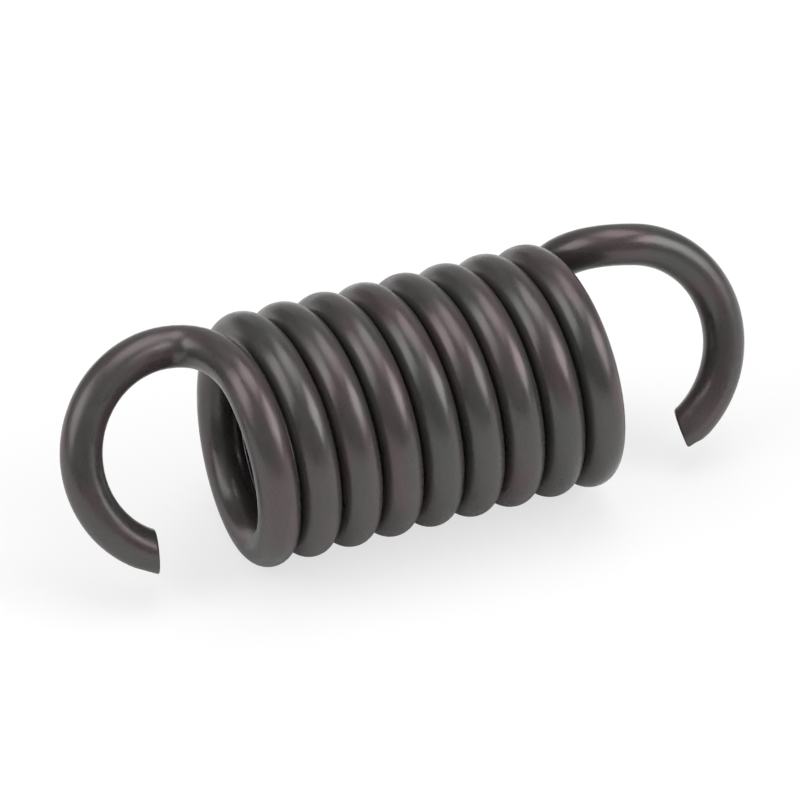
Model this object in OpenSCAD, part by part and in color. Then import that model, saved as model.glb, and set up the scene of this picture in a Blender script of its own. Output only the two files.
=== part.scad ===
// Extension spring: one length of round wire, wound right-handed into a coil, whose two ends
// are bent up into open loops. The coil lies along X, its lowest line on the plane Z = 0, and
// the loops lean to the back, as the spring rests. Each loop leaves the coil near its top,
// curls outwards and down, and ends in a sheared face. Lengths are millimetres, angles degrees.

/* [Wire] */
// Diameter of the round wire
wire_d = 1.63; // [1.2:0.01:1.8]

/* [Coil] */
// Outside diameter of the coil
coil_od = 10; // [9:0.1:12]
// Gap between neighbouring turns of the relaxed coil
turn_gap = 0.09; // [0.04:0.01:0.6]
// Number of turns, counted along the underside of the coil
turn_count = 9; // [4:1:16]
// Angle from the top, towards the front, at which the coil begins
coil_begins = 28.4; // [20:0.2:50]
// Angle short of the top, at the back, at which the coil ends
coil_ends = 65.2; // [50:0.2:85]

/* [Left loop] */
// Outside diameter of the left loop
left_od = 9.7; // [9:0.1:11]
// Distance along X from the coil's beginning to the middle of the left loop
left_reach = 2.2; // [1.8:0.1:5]
// Offset of the loop's middle from the axis of the coil, towards the loop's top
left_rise = 0.3; // [0:0.05:0.6]
// Angle by which the loop's far side is turned to the front
left_turn = 5.2; // [0:0.2:8]
// Angle by which the loop's top leans to the back
left_lean = 27.2; // [20:0.2:35]
// Angle above the loop's far point at which its round part begins
left_from = 94; // [80:1:105]
// Angle below the loop's far point at which the wire is cut off
left_to = 66; // [30:1:85]
// Angle by which the sheared face is out of square, its outer edge left long
left_shear = 20; // [0:1:35]
// Angle by which the sheared face is skewed, its back edge left long
left_skew = 18; // [0:1:25]

/* [Right loop] */
// Outside diameter of the right loop
right_od = 10; // [9:0.1:11]
// Distance along X from the coil's end to the middle of the right loop
right_reach = 2; // [1.8:0.1:5]
// Offset of the loop's middle from the axis of the coil, towards the loop's top
right_rise = 0; // [0:0.05:0.6]
// Angle by which the loop's far side is turned to the front
right_turn = -0.6; // [-8:0.2:8]
// Angle by which the loop's top leans to the back
right_lean = 23.4; // [20:0.2:35]
// Angle above the loop's far point at which its round part begins
right_from = 77; // [65:1:90]
// Angle below the loop's far point at which the wire is cut off
right_to = 65; // [30:1:85]
// Angle by which the sheared face is out of square, its outer edge left long
right_shear = 16; // [0:1:35]
// Angle by which the sheared face is skewed, its front edge left long
right_skew = 11; // [0:1:25]

/* [Bends] */
// Length over which the left bend still follows the coil
left_bend_coil = 1.6; // [1.2:0.05:2.4]
// Length over which the left bend already follows its loop
left_bend_loop = 1.75; // [1.2:0.05:2.4]
// Length over which the right bend still follows the coil
right_bend_coil = 1.45; // [1.2:0.05:2.4]
// Length over which the right bend already follows its loop
right_bend_loop = 2; // [1.2:0.05:2.6]

/* [Hidden] */

// Rings of the wire in one turn: a multiple of four, which puts a flat side of each turn at
// its bottom, top, front and back
turn_steps = 20;
// Points round each ring of the wire
ring_points = 20;
// Stretches in each bend between the coil and a loop
bend_steps = 8;

step = 360 / turn_steps;
wire_r = wire_d / 2;
pitch = wire_d + turn_gap;
coil_r = line_radius(coil_od);
first_angle = coil_begins;
last_angle = 360 * turn_count - coil_ends;
coil_length = pitch * (last_angle - first_angle) / 360;

left_r = line_radius(left_od);
right_r = line_radius(right_od);
left_end = left_reach + left_r * cos(left_turn) + wire_r;
right_end = right_reach + right_r * cos(right_turn) + wire_r;

// The coil begins here, so that the middle of the whole length is at X = 0
coil_x = (left_end - right_end - coil_length) / 2;
// Height of the coil's axis above the plane that it lies on
axis_z = coil_od / 2;

// Each loop lies in the plane of its outward and its upward direction
left_out = loop_out(-1, left_turn, left_lean);
right_out = loop_out(1, right_turn, right_lean);
left_up = loop_up(left_lean);
right_up = loop_up(right_lean);
left_middle = [coil_x - left_reach, 0, axis_z] + left_rise * left_up;
right_middle = [coil_x + coil_length + right_reach, 0, axis_z] + right_rise * right_up;

// Radius of the centre line of a turn whose flat outer sides touch its outside diameter
function line_radius(outside_d) = outside_d / 2 / cos(step / 2) - wire_r;

function unit(v) = v / norm(v);

// The part of v that is square to direction, as a unit vector
function square_to(v, direction) = unit(v - direction * (v * direction));

function reversed(list) = [for (i = [len(list) - 1:-1:0]) list[i]];

// Point and direction of the coil's centre line, at an angle from the top towards the front
function coil_point(a) =
    [coil_x + pitch * (a - first_angle) / 360, -coil_r * sin(a), axis_z + coil_r * cos(a)];
function coil_direction(a) = unit([pitch / (2 * PI), -coil_r * cos(a), -coil_r * sin(a)]);

// Direction from the coil's axis to the wire
function coil_outward(a) = [0, -sin(a), cos(a)];

// Directions of a loop that leans to the back and is turned to the front; side is -1 or 1
function loop_up(lean) = [0, sin(lean), cos(lean)];
function loop_out(side, turn, lean) =
    [side * cos(turn), -sin(turn) * cos(lean), sin(turn) * sin(lean)];

// Point and direction of a loop's centre line, at an angle above its far point
function loop_point(middle, out, up, r, a) = middle + r * (cos(a) * out + sin(a) * up);
function loop_direction(out, up, a) = sin(a) * out - cos(a) * up;

// Smooth bend from point a to point b, that leaves along va and arrives along vb
function bend(a, va, b, vb) = [
    for (i = [1:bend_steps - 1])
        let (s = i / bend_steps, q = 1 - s)
            q * q * q * a + 3 * q * q * s * (a + va) + 3 * q * s * s * (b - vb) + s * s * s * b
];

// Centre line of a loop, from its round part's beginning to the cut
function loop_line(middle, out, up, r, from, to) =
    let (count = ceil((from + to) / step))
        [for (i = [0:count]) loop_point(middle, out, up, r, from - (from + to) * i / count)];

// Angles of the coil's rings: both ends, and between them each half step from the bottom
coil_angles = [
    first_angle,
    for (a = [(ceil(first_angle / step - 1 / 4) + 1 / 2) * step:step:last_angle - step / 4]) a,
    last_angle
];

coil_line = [for (a = coil_angles) coil_point(a)];

left_loop = loop_line(left_middle, left_out, left_up, left_r, left_from, left_to);
right_loop = loop_line(right_middle, right_out, right_up, right_r, right_from, right_to);

left_bend = bend(
    coil_line[0],
    -left_bend_coil * coil_direction(first_angle),
    left_loop[0],
    left_bend_loop * loop_direction(left_out, left_up, left_from));
right_bend = bend(
    coil_line[len(coil_line) - 1],
    right_bend_coil * coil_direction(last_angle),
    right_loop[0],
    right_bend_loop * loop_direction(right_out, right_up, right_from));

// Both ends of the wire as seen from the coil, and the whole wire from left to right
left_line = concat(left_bend, left_loop);
right_line = concat(right_bend, right_loop);
wire_line = concat(reversed(left_line), coil_line, right_line);
wire_last = len(wire_line) - 1;

wire_directions = [
    for (i = [0:wire_last])
        unit(wire_line[min(i + 1, wire_last)] - wire_line[max(i - 1, 0)])
];

// Sideways directions along a stretch of wire, each turned only as far as the wire turns
function carried(directions, side, i = 0) =
    i == len(directions) ? [] :
    let (next = square_to(side, directions[i]))
        concat([next], carried(directions, next, i + 1));

left_count = len(left_line);
right_count = len(right_line);
coil_sides = [
    for (i = [0:len(coil_angles) - 1])
        square_to(coil_outward(coil_angles[i]), wire_directions[left_count + i])
];
left_sides = carried(
    reversed([for (i = [0:left_count - 1]) wire_directions[i]]),
    coil_sides[0]);
right_sides = carried(
    [for (i = [wire_last - right_count + 1:wire_last]) wire_directions[i]],
    coil_sides[len(coil_sides) - 1]);
wire_sides = concat(reversed(left_sides), coil_sides, right_sides);

// Slant of each cut: along the wire, for each millimetre across it
left_slant =
    -tan(left_shear) * unit(wire_line[0] - left_middle)
    - tan(left_skew) * cross(left_out, left_up);
right_slant =
    tan(right_shear) * unit(wire_line[wire_last] - right_middle)
    + tan(right_skew) * cross(right_out, right_up);
no_slant = [0, 0, 0];

// One ring of points round the wire, pushed along the wire where it is cut at a slant
function ring(i, slant) =
    let (along = wire_directions[i], side = wire_sides[i], other = cross(along, side))
        [for (k = [0:ring_points - 1])
            let (a = 360 * k / ring_points, v = wire_r * (cos(a) * side + sin(a) * other))
                wire_line[i] + v + along * (v * slant)];

module spring() {
    rings = [
        for (i = [0:wire_last])
            ring(i, i == 0 ? left_slant : i == wire_last ? right_slant : no_slant)
    ];
    points = [for (r = rings) each r];
    walls = [
        for (i = [0:wire_last - 1], k = [0:ring_points - 1])
            let (
                a = i * ring_points + k,
                b = i * ring_points + (k + 1) % ring_points,
                c = b + ring_points,
                d = a + ring_points)
                each [[a, c, b], [a, d, c]]
    ];
    left_cut = [for (k = [0:ring_points - 1]) k];
    right_cut = [for (k = [ring_points - 1:-1:0]) wire_last * ring_points + k];
    color([0.28, 0.27, 0.27])
        polyhedron(points = points, faces = concat([left_cut], walls, [right_cut]), convexity = 10);
}

spring();
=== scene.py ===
# %% [markdown]
# An extension spring
#
# The real thing is one length of round spring-steel wire. A machine winds it into a tight coil,
# and then bends each end up into an open loop. Nothing is joined or welded, so the model is also
# one piece: a single closed mesh that follows the wire from one cut end to the other.
#
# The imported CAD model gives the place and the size. Its wire has twenty flat sides, and each turn
# twenty flat steps, which is right for a solid that has to be light, but shows in a picture. This
# lesson makes the same wire round, cuts its ends as a shear does, and gives it the finish of
# oil-tempered steel.

# %% Load the CAD model and keep its box
import math

import bpy
from mathutils import Euler, Matrix, Vector
from mathutils.kdtree import KDTree


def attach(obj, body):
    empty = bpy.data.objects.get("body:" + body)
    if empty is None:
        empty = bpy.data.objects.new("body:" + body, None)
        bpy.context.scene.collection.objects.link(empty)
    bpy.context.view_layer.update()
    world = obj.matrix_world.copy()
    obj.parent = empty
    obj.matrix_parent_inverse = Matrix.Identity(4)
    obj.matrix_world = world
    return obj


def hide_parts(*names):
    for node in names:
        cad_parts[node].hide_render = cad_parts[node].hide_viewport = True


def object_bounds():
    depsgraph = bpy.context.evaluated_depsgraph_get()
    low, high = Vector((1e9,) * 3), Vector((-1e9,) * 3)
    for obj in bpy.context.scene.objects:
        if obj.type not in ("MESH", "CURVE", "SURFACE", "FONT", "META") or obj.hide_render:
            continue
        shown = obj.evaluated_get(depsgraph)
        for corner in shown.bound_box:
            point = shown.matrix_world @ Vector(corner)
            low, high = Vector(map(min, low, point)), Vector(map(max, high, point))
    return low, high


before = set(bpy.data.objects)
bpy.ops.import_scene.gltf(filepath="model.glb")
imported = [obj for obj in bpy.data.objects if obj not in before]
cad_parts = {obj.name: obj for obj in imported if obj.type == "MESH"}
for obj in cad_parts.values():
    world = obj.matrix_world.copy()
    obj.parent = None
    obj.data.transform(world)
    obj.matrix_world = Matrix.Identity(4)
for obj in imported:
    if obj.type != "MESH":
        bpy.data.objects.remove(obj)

cad_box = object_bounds()
cad_size = Vector(cad_box[1]) - Vector(cad_box[0])
print("CAD box, metres:", [round(side, 5) for side in cad_size])

# %% [markdown]
# The sizes that drive the spring
#
# A spring maker orders by wire diameter, outside diameter, number of turns and the loops at the
# ends. The same numbers drive this model. They are written in millimetres and degrees, as on a
# drawing, and the product with MM turns millimetres into Blender's metres.
#
# The turns of the real spring all but touch. The CAD solid keeps a narrow gap between them, which
# would let daylight through. Here the wire is 0.03 mm thicker and the gap as much narrower, so
# each turn stays where the CAD puts it, and the gap is too narrow to see into. The slants of the
# two cuts differ a little from the solid's, because here they follow the real ends more closely.

# %% Name the sizes
MM = 0.001

wire_diameter = 1.66 * MM
coil_diameter = 10 * MM
turn_gap = 0.06 * MM
turn_count = 9
coil_begins = math.radians(28.4)
coil_ends = math.radians(65.2)

left_diameter = 9.7 * MM
left_reach = 2.2 * MM
left_rise = 0.3 * MM
left_turn = math.radians(5.2)
left_lean = math.radians(27.2)
left_from = math.radians(94)
left_to = math.radians(66.5)

right_diameter = 10 * MM
right_reach = 2 * MM
right_rise = 0
right_turn = math.radians(-0.6)
right_lean = math.radians(23.4)
right_from = math.radians(77)
right_to = math.radians(65.3)

left_bend_coil = 1.6 * MM
left_bend_loop = 1.75 * MM
right_bend_coil = 1.45 * MM
right_bend_loop = 2 * MM

left_shear = math.radians(18)
left_skew = math.radians(18)
right_shear = math.radians(10)
right_skew = math.radians(23)
flat_length = 0.85 * MM
flat_slope = math.radians(21)

wire_radius = wire_diameter / 2
pitch = wire_diameter + turn_gap
coil_radius = coil_diameter / 2 - wire_radius
left_radius = left_diameter / 2 - wire_radius
right_radius = right_diameter / 2 - wire_radius
coil_last = math.tau * turn_count - coil_ends
coil_length = pitch * (coil_last - coil_begins) / math.tau
print("coil length, mm:", round(coil_length / MM, 2))

# %% [markdown]
# The camera
#
# The camera goes first, so that everything that follows can be judged from the right side. The
# spring is small and was pictured from about a quarter of a metre with a long lens, which keeps
# the near loop and the far loop almost the same size. The camera stands to the left of the front
# and looks down on the spring at 34 degrees.

# %% Place the camera
camera_azimuth = math.radians(-23.313)
camera_elevation = math.radians(34.142)
camera_distance = 262.95 * MM
camera_target = Vector((-0.267, 0.154, 5.068)) * MM
camera_lens = 301.52
camera_film = 36

towards_camera = Vector((
    math.sin(camera_azimuth) * math.cos(camera_elevation),
    -math.cos(camera_azimuth) * math.cos(camera_elevation),
    math.sin(camera_elevation)))

bpy.ops.object.select_all(action="DESELECT")
bpy.ops.object.camera_add(
    location=camera_target + towards_camera * camera_distance,
    rotation=(math.pi / 2 - camera_elevation, 0, camera_azimuth))
camera = bpy.context.object
camera.name = "camera"
camera.data.lens = camera_lens
camera.data.sensor_fit = "HORIZONTAL"
camera.data.sensor_width = camera_film
camera.data.clip_start = 10 * MM
bpy.context.scene.camera = camera
print("camera at, mm:", [round(place / MM, 1) for place in camera.location])

# %% [markdown]
# The centre line of the coil
#
# The middle of the wire runs round the coil's axis and moves on by one pitch at each turn, which
# makes a helix. Its angle starts at the top and grows towards the front. A Bezier curve can't be
# an exact helix, but with eight points on each turn its error is far below a micrometre. Each
# point needs two handles along the wire, and this length of handle keeps the turns round:
# four thirds of the tangent of a quarter of the angle between two points.

# %% Work out the coil's points
left_end = left_reach + left_radius * math.cos(left_turn) + wire_radius
right_end = right_reach + right_radius * math.cos(right_turn) + wire_radius
coil_start = (left_end - right_end - coil_length) / 2
axis_height = coil_diameter / 2


def coil_point(angle):
    along = coil_start + pitch * (angle - coil_begins) / math.tau
    return Vector((
        along,
        -coil_radius * math.sin(angle),
        axis_height + coil_radius * math.cos(angle)))


def coil_speed(angle):
    """How fast the point moves for each radian of the angle."""
    return Vector((
        pitch / math.tau,
        -coil_radius * math.cos(angle),
        -coil_radius * math.sin(angle)))


def handle_share(angle):
    """The length of a handle for a piece of circle, as a share of the radius."""
    return math.tan(angle / 4) * 4 / 3


pieces_a_turn = 8
coil_pieces = round(pieces_a_turn * (coil_last - coil_begins) / math.tau)
coil_step = (coil_last - coil_begins) / coil_pieces
coil_handle = handle_share(coil_step)
print("curve pieces in the coil:", coil_pieces)

# %% [markdown]
# The loops and the bends
#
# Each loop is part of a circle that stands over the coil's axis. It leans to the back, because
# the spring has rolled a little on its round belly. A loop is described by its middle and by two
# directions, outwards and upwards. Its wire comes down from the top, round the far side, and
# ends before it closes. The short bend between the coil and the loop is one piece of Bezier
# curve, whose two handles say how far the wire still follows the coil and already follows the
# loop.

# %% Work out the loops' points
def loop_directions(side, turn, lean):
    outwards = Vector((
        side * math.cos(turn),
        -math.sin(turn) * math.cos(lean),
        math.sin(turn) * math.sin(lean)))
    upwards = Vector((0, math.sin(lean), math.cos(lean)))
    return outwards, upwards


def loop_point(middle, outwards, upwards, radius, angle):
    return middle + radius * (math.cos(angle) * outwards + math.sin(angle) * upwards)


def loop_speed(outwards, upwards, radius, angle):
    return radius * (math.sin(angle) * outwards - math.cos(angle) * upwards)


left_out, left_up = loop_directions(-1, left_turn, left_lean)
right_out, right_up = loop_directions(1, right_turn, right_lean)
left_middle = Vector((coil_start - left_reach, 0, axis_height)) + left_rise * left_up
right_middle = Vector((coil_start + coil_length + right_reach, 0, axis_height))
right_middle += right_rise * right_up
print("loop middles, mm:", [round(x / MM, 2) for x in (left_middle.x, right_middle.x)])

# %% List the curve's points from the coil outwards
# Each point is its place, the handle before it and the handle after it. The curve stops a
# little short of the two cuts, which are made later.
short_angle = math.radians(9)
loop_pieces = 4


def loop_points(middle, outwards, upwards, radius, start, stop, first_handle):
    step = (start + stop - short_angle) / loop_pieces
    share = handle_share(step)
    points = []
    for piece in range(loop_pieces + 1):
        angle = start - piece * step
        place = loop_point(middle, outwards, upwards, radius, angle)
        speed = loop_speed(outwards, upwards, radius, angle)
        before = speed * share
        if piece == 0:
            before = speed.normalized() * first_handle
        points.append((place, place - before, place + speed * share))
    return points


left_points = loop_points(
    left_middle, left_out, left_up, left_radius, left_from, left_to, left_bend_loop)
right_points = loop_points(
    right_middle, right_out, right_up, right_radius, right_from, right_to, right_bend_loop)

coil_points = []
for piece in range(coil_pieces + 1):
    angle = coil_begins + piece * coil_step
    place = coil_point(angle)
    speed = coil_speed(angle)
    before = speed * coil_handle
    after = speed * coil_handle
    if piece == 0:
        before = speed.normalized() * left_bend_coil
    if piece == coil_pieces:
        after = speed.normalized() * right_bend_coil
    coil_points.append((place, place - before, place + after))

# The left loop is listed from the coil outwards, so it is turned round here.
wire_points = [(place, after, before) for place, before, after in reversed(left_points)]
wire_points += coil_points
wire_points += right_points
print("curve points along the wire:", len(wire_points))

# %% [markdown]
# The wire
#
# A curve with a round bevel is the plain way to draw wire in Blender: the curve is the middle of
# the wire, and the bevel depth is its radius. Twelve rings on each piece of curve put a ring at
# every four degrees of a turn, so no flat shows on the outline. The curve is then made a mesh,
# because the ends have to be cut and the surface has to carry its own coordinates.

# %% Draw the centre line and make it round wire
rings_a_piece = 12
wire_sides = 40

bpy.ops.object.select_all(action="DESELECT")
bpy.ops.curve.primitive_bezier_curve_add(location=(0, 0, 0))
spring = bpy.context.object
spring.name = "spring_wire"
centre_line = spring.data.splines[0]
centre_line.bezier_points.add(len(wire_points) - len(centre_line.bezier_points))
for point, (place, before, after) in zip(centre_line.bezier_points, wire_points):
    point.handle_left_type = "FREE"
    point.handle_right_type = "FREE"
    point.co = place
    point.handle_left = before
    point.handle_right = after
spring.data.dimensions = "3D"
spring.data.twist_mode = "MINIMUM"
spring.data.resolution_u = rings_a_piece
spring.data.bevel_depth = wire_radius
spring.data.bevel_resolution = wire_sides // 2 - 2

bpy.ops.object.convert(target="MESH")
spring = bpy.context.object
wire = spring.data
ring_count = len(wire.vertices) // wire_sides
print("rings:", ring_count, "vertices:", len(wire.vertices), "faces:", len(wire.polygons))

# %% Keep the middles and one side of every ring
def ring_corner(ring, side):
    return wire.vertices[ring * wire_sides + side].co.copy()


ring_middles = []
ring_sides = []
for ring in range(ring_count):
    middle = (ring_corner(ring, 0) + ring_corner(ring, wire_sides // 2)) / 2
    ring_middles.append(middle)
    ring_sides.append((ring_corner(ring, 0) - middle).normalized())
print("wire goes from, mm:", [round(x / MM, 2) for x in ring_middles[0]])

# %% [markdown]
# The cut ends
#
# The machine shears the wire off. Its two blades pass each other, so each cut is a slanted flat
# face whose outer edge is left long, and the wire turns a little in the blades, which skews it.
# Here the open end of the wire is extruded straight on, past the cut. A bisect then takes off
# what is outside the cutting plane and fills the hole. On the right end the blade also pressed
# the outer side in, just before it cut, and a second bisect makes that shallow flat. A shear
# rolls the rim over a little, which a narrow bevel gives, and the rim doesn't look like the edge
# of a sheet of paper.

# %% Cut the ends
end_stretch = 1.5 * MM
near_tip = wire_diameter
around_flat = wire_diameter * 1.2


def deselect_mesh(elements):
    bpy.ops.object.mode_set(mode="EDIT")
    bpy.ops.mesh.select_mode(type=elements)
    bpy.ops.mesh.select_all(action="DESELECT")
    bpy.ops.object.mode_set(mode="OBJECT")


def cut_end(middle, outwards, upwards, radius, stop, shear, skew):
    """Lengthens the wire past the cut, and cuts it there on a slanted and skewed plane."""
    tip = loop_point(middle, outwards, upwards, radius, -stop)
    along = loop_speed(outwards, upwards, radius, -stop).normalized()
    across = (tip - middle).normalized()
    sideways = outwards.cross(upwards)
    slant = math.tan(shear) * across + math.tan(skew) * sideways
    cut_normal = (along - slant).normalized()
    short = short_angle / 2 - stop
    onwards = loop_speed(outwards, upwards, radius, short).normalized()

    deselect_mesh("EDGE")
    bpy.ops.object.mode_set(mode="EDIT")
    bpy.ops.mesh.select_non_manifold(
        extend=False, use_wire=False, use_multi_face=False, use_non_contiguous=False,
        use_verts=False)
    bpy.ops.object.mode_set(mode="OBJECT")
    for edge in spring.data.edges:
        start = spring.data.vertices[edge.vertices[0]].co
        if (start - tip).length > end_stretch:
            edge.select = False
            for corner in edge.vertices:
                spring.data.vertices[corner].select = False
    bpy.ops.object.mode_set(mode="EDIT")
    bpy.ops.mesh.extrude_region_move(
        TRANSFORM_OT_translate={"value": onwards * end_stretch})
    bpy.ops.object.mode_set(mode="OBJECT")

    far_end = tip - along * wire_radius
    deselect_mesh("FACE")
    for face in spring.data.polygons:
        beyond = (face.center - far_end).dot(along) > 0
        face.select = beyond and (face.center - tip).length < near_tip
    bpy.ops.object.mode_set(mode="EDIT")
    bpy.ops.mesh.bisect(plane_co=tip, plane_no=cut_normal, use_fill=True, clear_outer=True)
    bpy.ops.object.mode_set(mode="OBJECT")
    return tip, cut_normal


def press_flat(tip, middle, along):
    """Takes a shallow flat off the outer side of the wire, just before the cut."""
    across = (tip - middle).normalized()
    start = tip + across * wire_radius - along * flat_length
    sloped = math.cos(flat_slope) * across + math.sin(flat_slope) * along
    flat_normal = sloped.normalized()
    deselect_mesh("FACE")
    for face in spring.data.polygons:
        face.select = (face.center - tip).length < around_flat
    bpy.ops.object.mode_set(mode="EDIT")
    bpy.ops.mesh.bisect(plane_co=start, plane_no=flat_normal, use_fill=True, clear_outer=True)
    bpy.ops.object.mode_set(mode="OBJECT")


cuts = [
    cut_end(
        left_middle, left_out, left_up, left_radius, left_to, left_shear, left_skew),
    cut_end(
        right_middle, right_out, right_up, right_radius, right_to, right_shear, right_skew)]
right_tip = cuts[1][0]
right_along = loop_speed(right_out, right_up, right_radius, -right_to).normalized()
press_flat(right_tip, right_middle, right_along)
print("tips, mm:", [[round(x / MM, 2) for x in tip] for tip, cut_normal in cuts])

# %% Soften the rims
# The two bisects leave a few very short edges where they meet, which are merged first, because
# the bevel would fold over them.
rim_width = 0.1 * MM
rim_steps = 4
on_plane = 0.001 * MM
short_edge = 0.02 * MM
smooth_below = math.radians(40)

deselect_mesh("EDGE")
bpy.ops.object.mode_set(mode="EDIT")
bpy.ops.mesh.select_all(action="SELECT")
bpy.ops.mesh.remove_doubles(threshold=short_edge)
bpy.ops.mesh.select_all(action="DESELECT")
bpy.ops.object.mode_set(mode="OBJECT")
for edge in spring.data.edges:
    ends = [spring.data.vertices[corner].co for corner in edge.vertices]
    for tip, cut_normal in cuts:
        flat = all(abs((end - tip).dot(cut_normal)) < on_plane for end in ends)
        near = all((end - tip).length < near_tip for end in ends)
        if flat and near:
            edge.select = True
bpy.ops.object.mode_set(mode="EDIT")
bpy.ops.mesh.bevel(offset=rim_width, segments=rim_steps, profile=0.5, affect="EDGES")
bpy.ops.mesh.select_all(action="SELECT")
bpy.ops.mesh.normals_make_consistent(inside=False)
bpy.ops.object.mode_set(mode="OBJECT")
bpy.ops.object.shade_smooth_by_angle(angle=smooth_below)
print("faces after the cuts:", len(spring.data.polygons))

# %% [markdown]
# Coordinates that follow the wire
#
# Steel wire is pulled through a die, so all its marks run along it. A pattern in the room's own
# directions would cut across the turns. Each vertex therefore stores its place on the straight
# wire, before winding: how far along it is, and where it lies in the round section. A pattern
# that reads this attribute winds round the coil with the wire and has no seam. A second
# attribute marks the two sheared faces, which are bare steel.

# %% Store the place on the straight wire
distances = [0]
for ring in range(1, ring_count):
    step = (ring_middles[ring] - ring_middles[ring - 1]).length
    distances.append(distances[-1] + step)

ring_finder = KDTree(ring_count)
for ring, middle in enumerate(ring_middles):
    ring_finder.insert(middle, ring)
ring_finder.balance()

straight = spring.data.attributes.new("straight_wire", "FLOAT_VECTOR", "POINT")
for vertex in spring.data.vertices:
    ring = ring_finder.find(vertex.co)[1]
    before = ring_middles[max(ring - 1, 0)]
    after = ring_middles[min(ring + 1, ring_count - 1)]
    along = (after - before).normalized()
    side = ring_sides[ring]
    offset = vertex.co - ring_middles[ring]
    straight.data[vertex.index].vector = (
        distances[ring] + offset.dot(along),
        offset.dot(side),
        offset.dot(along.cross(side)))
print("wire length, mm:", round(distances[-1] / MM, 1))

# %% Mark the sheared faces
sheared = spring.data.attributes.new("sheared", "FLOAT", "POINT")
marked = 0
for vertex in spring.data.vertices:
    for tip, cut_normal in cuts:
        offset = vertex.co - tip
        if abs(offset.dot(cut_normal)) < on_plane and offset.length < near_tip:
            sheared.data[vertex.index].value = 1
            marked += 1
print("points on the sheared faces:", marked)

# %% [markdown]
# Colours and nodes
#
# Blender mixes light in linear numbers, while colours are read off a screen in sRGB. One
# function turns the usual hex value into linear. Another adds a node with its settings and
# links, so that a material reads as a short list.

# %% Two helpers for materials
def linear(hex_colour):
    channels = [int(hex_colour[start:start + 2], 16) / 255 for start in (1, 3, 5)]
    bent = [c / 12.92 if c <= 0.04045 else ((c + 0.055) / 1.055) ** 2.4 for c in channels]
    return (*bent, 1)


def add_node(owner, kind, settings=None, inputs=None):
    """Adds a node to a material or the world. An input is a value, or an output to link to."""
    tree = owner.node_tree
    node = tree.nodes.new(kind)
    for name, value in (settings or {}).items():
        setattr(node, name, value)
    for name, value in (inputs or {}).items():
        if isinstance(value, bpy.types.NodeSocket):
            tree.links.new(value, node.inputs[name])
        else:
            node.inputs[name].default_value = value
    return node


def new_material(name):
    material = bpy.data.materials.new(name)
    material.use_nodes = True
    material.node_tree.nodes.clear()
    return material


# %% [markdown]
# Oil-tempered spring steel
#
# The wire is heated and quenched in oil, which leaves a thin brown-black oxide skin over bare
# steel. The skin is part metal and part mineral: it reflects about a tenth of the light, like a
# dark metal, and scatters a little more, which keeps the grooves from going black. It is never
# even. Where the oil cooled the wire faster or slower, the skin turns from green-grey to
# purple-brown, in soft patches a wire width or two long. Over that lie the die's fine lines, which
# run along the wire, and the grain of the oxide.
#
# All patterns read the straight wire's coordinates. A Mapping node divides them by the size of
# the pattern, so that one unit of noise is one patch, one line or one grain.

# %% Lay out the patterns on the straight wire
steel = new_material("oil_tempered_steel")
place = add_node(steel, "ShaderNodeAttribute", {"attribute_name": "straight_wire"})

noise_roughness = 0.55
noise_low = 0.3
noise_high = 0.7


def wire_noise(length, width, detail, start=0.0):
    """Noise whose blots are so long and so wide on the wire. The start sets two noises apart."""
    scaled = add_node(steel, "ShaderNodeMapping", inputs={
        "Vector": place.outputs["Vector"],
        "Location": (start, start, start),
        "Scale": (1 / length, 1 / width, 1 / width)})
    noise = add_node(steel, "ShaderNodeTexNoise", inputs={
        "Vector": scaled.outputs["Vector"],
        "Scale": 1,
        "Detail": detail,
        "Roughness": noise_roughness})
    return noise.outputs["Fac"]


def spread(value, low, high):
    """A noise, whose usual range is stretched to go from one value to another."""
    ranged = add_node(steel, "ShaderNodeMapRange", inputs={
        "Value": value,
        "From Min": noise_low,
        "From Max": noise_high,
        "To Min": low,
        "To Max": high})
    return ranged.outputs["Result"]


tint_patches = wire_noise(3 * MM, 1.2 * MM, detail=2)
shade_patches = wire_noise(1.3 * MM, 0.45 * MM, detail=4, start=7.3)
# The die's real lines are a hundredth of a millimetre apart. They are drawn six times coarser,
# so that they still show as lines. The oxide's grain is drawn coarser than the real one too.
die_lines = wire_noise(5 * MM, 0.06 * MM, detail=2, start=3.1)
oxide_grain = wire_noise(0.12 * MM, 0.12 * MM, detail=2, start=5.7)
print("nodes in the patterns:", len(steel.node_tree.nodes))

# %% Colour the skin
# The noise is seldom under 0.36 or over 0.64, so the two outer tints are placed there.
green_grey = linear("#4F4F4D")
brown = linear("#534F4E")
purple_brown = linear("#594D4F")
bare_steel = linear("#6E6B68")

tint = add_node(steel, "ShaderNodeValToRGB", inputs={"Fac": tint_patches})
tint.color_ramp.elements[0].position = 0.36
tint.color_ramp.elements[0].color = green_grey
tint.color_ramp.elements[1].position = 0.64
tint.color_ramp.elements[1].color = purple_brown
tint.color_ramp.elements.new(0.5).color = brown

shade = spread(shade_patches, 0.95, 1.05)
grain_shade = spread(oxide_grain, 0.97, 1.03)
both_shades = add_node(steel, "ShaderNodeMath", {"operation": "MULTIPLY"}, {
    0: shade,
    1: grain_shade})
skin_colour = add_node(steel, "ShaderNodeVectorMath", {"operation": "SCALE"}, {
    0: tint.outputs["Color"],
    "Scale": both_shades.outputs["Value"]})
bare_faces = add_node(steel, "ShaderNodeAttribute", {"attribute_name": "sheared"})
wire_colour = add_node(steel, "ShaderNodeMix", {"data_type": "RGBA"}, {
    0: bare_faces.outputs["Fac"],
    6: skin_colour.outputs["Vector"],
    7: bare_steel})
print("green-grey and purple-brown, linear:", [
    [round(channel, 3) for channel in colour[:3]] for colour in (green_grey, purple_brown)])

# %% Give the skin its gloss and relief
wave_depth = 0.012 * MM
line_depth = 0.0015 * MM
grain_depth = 0.002 * MM
metal_share = 0.5

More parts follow.
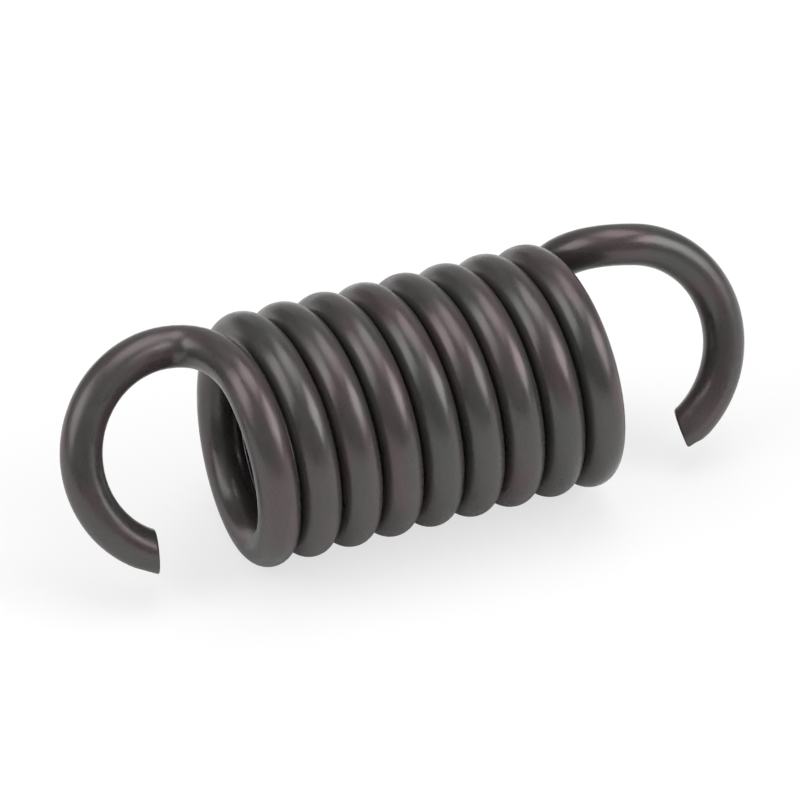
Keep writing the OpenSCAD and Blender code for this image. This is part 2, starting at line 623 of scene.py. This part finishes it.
gloss_patches = spread(shade_patches, 0.22, 0.4)
waves = add_node(steel, "ShaderNodeBump", inputs={
    "Height": shade_patches,
    "Strength": 1,
    "Distance": wave_depth})
lines = add_node(steel, "ShaderNodeBump", inputs={
    "Height": die_lines,
    "Strength": 1,
    "Distance": line_depth,
    "Normal": waves.outputs["Normal"]})
grains = add_node(steel, "ShaderNodeBump", inputs={
    "Height": oxide_grain,
    "Strength": 1,
    "Distance": grain_depth,
    "Normal": lines.outputs["Normal"]})
skin = add_node(steel, "ShaderNodeBsdfPrincipled", inputs={
    "Base Color": wire_colour.outputs[2],
    "Metallic": metal_share,
    "Roughness": gloss_patches,
    "Normal": grains.outputs["Normal"]})
add_node(steel, "ShaderNodeOutputMaterial", inputs={"Surface": skin.outputs["BSDF"]})
spring.data.materials.clear()
spring.data.materials.append(steel)
print("nodes in the steel:", len(steel.node_tree.nodes))

# %% [markdown]
# The floor
#
# The floor is a sheet of white paper, which the lamps light to almost white. A share of plain
# glow at a strength of 1, which is white, evens it out for the rays that come from the camera,
# and a smaller share for those that come from the metal. The rest is the lit paper, which keeps
# the spring's soft shadow.

# %% Lay the floor
floor_size = 2
camera_glow = 0.7
metal_glow = 0.05

bpy.ops.object.select_all(action="DESELECT")
bpy.ops.mesh.primitive_plane_add(size=floor_size, location=(0, 0, 0))
floor = bpy.context.object
floor.name = "floor"

paper = new_material("white_paper")
rays = add_node(paper, "ShaderNodeLightPath")
from_camera = add_node(paper, "ShaderNodeMath", {"operation": "MULTIPLY"}, {
    0: rays.outputs["Is Camera Ray"],
    1: camera_glow})
glow_share = add_node(paper, "ShaderNodeMath", {"operation": "MULTIPLY_ADD"}, {
    0: rays.outputs["Is Glossy Ray"],
    1: metal_glow,
    2: from_camera.outputs["Value"]})
matt = add_node(paper, "ShaderNodeBsdfDiffuse", inputs={"Color": linear("#F5F5F5")})
glow = add_node(paper, "ShaderNodeEmission", inputs={"Color": (1, 1, 1, 1), "Strength": 1})
mix = add_node(paper, "ShaderNodeMixShader", inputs={
    "Fac": glow_share.outputs["Value"],
    1: matt.outputs["BSDF"],
    2: glow.outputs["Emission"]})
add_node(paper, "ShaderNodeOutputMaterial", inputs={"Surface": mix.outputs["Shader"]})
floor.data.materials.append(paper)
print("glow for the camera and for the metal:", camera_glow, metal_glow)

# %% [markdown]
# Soft boxes and a dim room
#
# Round metal shows its surroundings as streaks, so the lamps are placed by where their streaks
# fall. Two soft boxes stand to the left and the right of the camera, at about its height, and each
# draws one streak down every turn. A third hangs overhead, a little behind the spring, and
# lights the tops of the turns. A fourth stands low at the back, and is weak. Between them the
# room is dim, which gives the dark bands, and it grows lighter towards the ceiling.

# %% Set the lamps
lamp_distance = 0.5


def soft_box(name, azimuth, elevation, roll, width, height, power):
    """A lamp at a direction round the spring, in degrees, that faces it. Its size is in metres."""
    across = math.radians(azimuth)
    up = math.radians(elevation)
    direction = Vector((
        math.sin(across) * math.cos(up),
        -math.cos(across) * math.cos(up),
        math.sin(up)))
    facing = Euler((math.pi / 2 - up, 0, across)).to_matrix()
    rolled = facing @ Matrix.Rotation(math.radians(roll), 3, "Z")
    bpy.ops.object.select_all(action="DESELECT")
    bpy.ops.object.light_add(
        type="AREA",
        location=direction * lamp_distance,
        rotation=rolled.to_euler())
    lamp = bpy.context.object
    lamp.name = name
    lamp.data.shape = "RECTANGLE"
    lamp.data.size = width
    lamp.data.size_y = height
    lamp.data.energy = power
    lamp.visible_camera = False
    print(name, "azimuth:", azimuth, "elevation:", elevation, "watts:", power)


soft_box("left_box", azimuth=-95, elevation=38, roll=-8, width=0.35, height=0.38, power=1.15)
soft_box("right_box", azimuth=57, elevation=34, roll=15, width=0.33, height=0.34, power=1.42)
soft_box("top_box", azimuth=125, elevation=78, roll=0, width=0.36, height=0.36, power=1)
soft_box("back_box", azimuth=152, elevation=18, roll=0, width=0.6, height=0.3, power=0.2)

# %% Set the room
# Where the walls end and the ceiling begins is written as the height of a direction that is one
# unit long.
walls_end = 0.4
ceiling_begins = 0.95
wall_light = 0.2
ceiling_light = 0.42

world = bpy.data.worlds.new("studio")
bpy.context.scene.world = world
world.use_nodes = True
direction = add_node(world, "ShaderNodeTexCoord")
upwards = add_node(world, "ShaderNodeSeparateXYZ", inputs={
    "Vector": direction.outputs["Generated"]})
room_light = add_node(world, "ShaderNodeMapRange", inputs={
    "Value": upwards.outputs["Z"],
    "From Min": walls_end,
    "From Max": ceiling_begins,
    "To Min": wall_light,
    "To Max": ceiling_light})
background = world.node_tree.nodes["Background"]
background.inputs["Color"].default_value = (1, 1, 1, 1)
world.node_tree.links.new(room_light.outputs["Result"], background.inputs["Strength"])
bpy.context.scene.view_settings.view_transform = "Standard"
print("light of the walls and the ceiling:", wall_light, ceiling_light)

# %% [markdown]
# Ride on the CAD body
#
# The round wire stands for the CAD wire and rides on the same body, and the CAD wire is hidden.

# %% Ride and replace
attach(spring, "root")
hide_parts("spring")
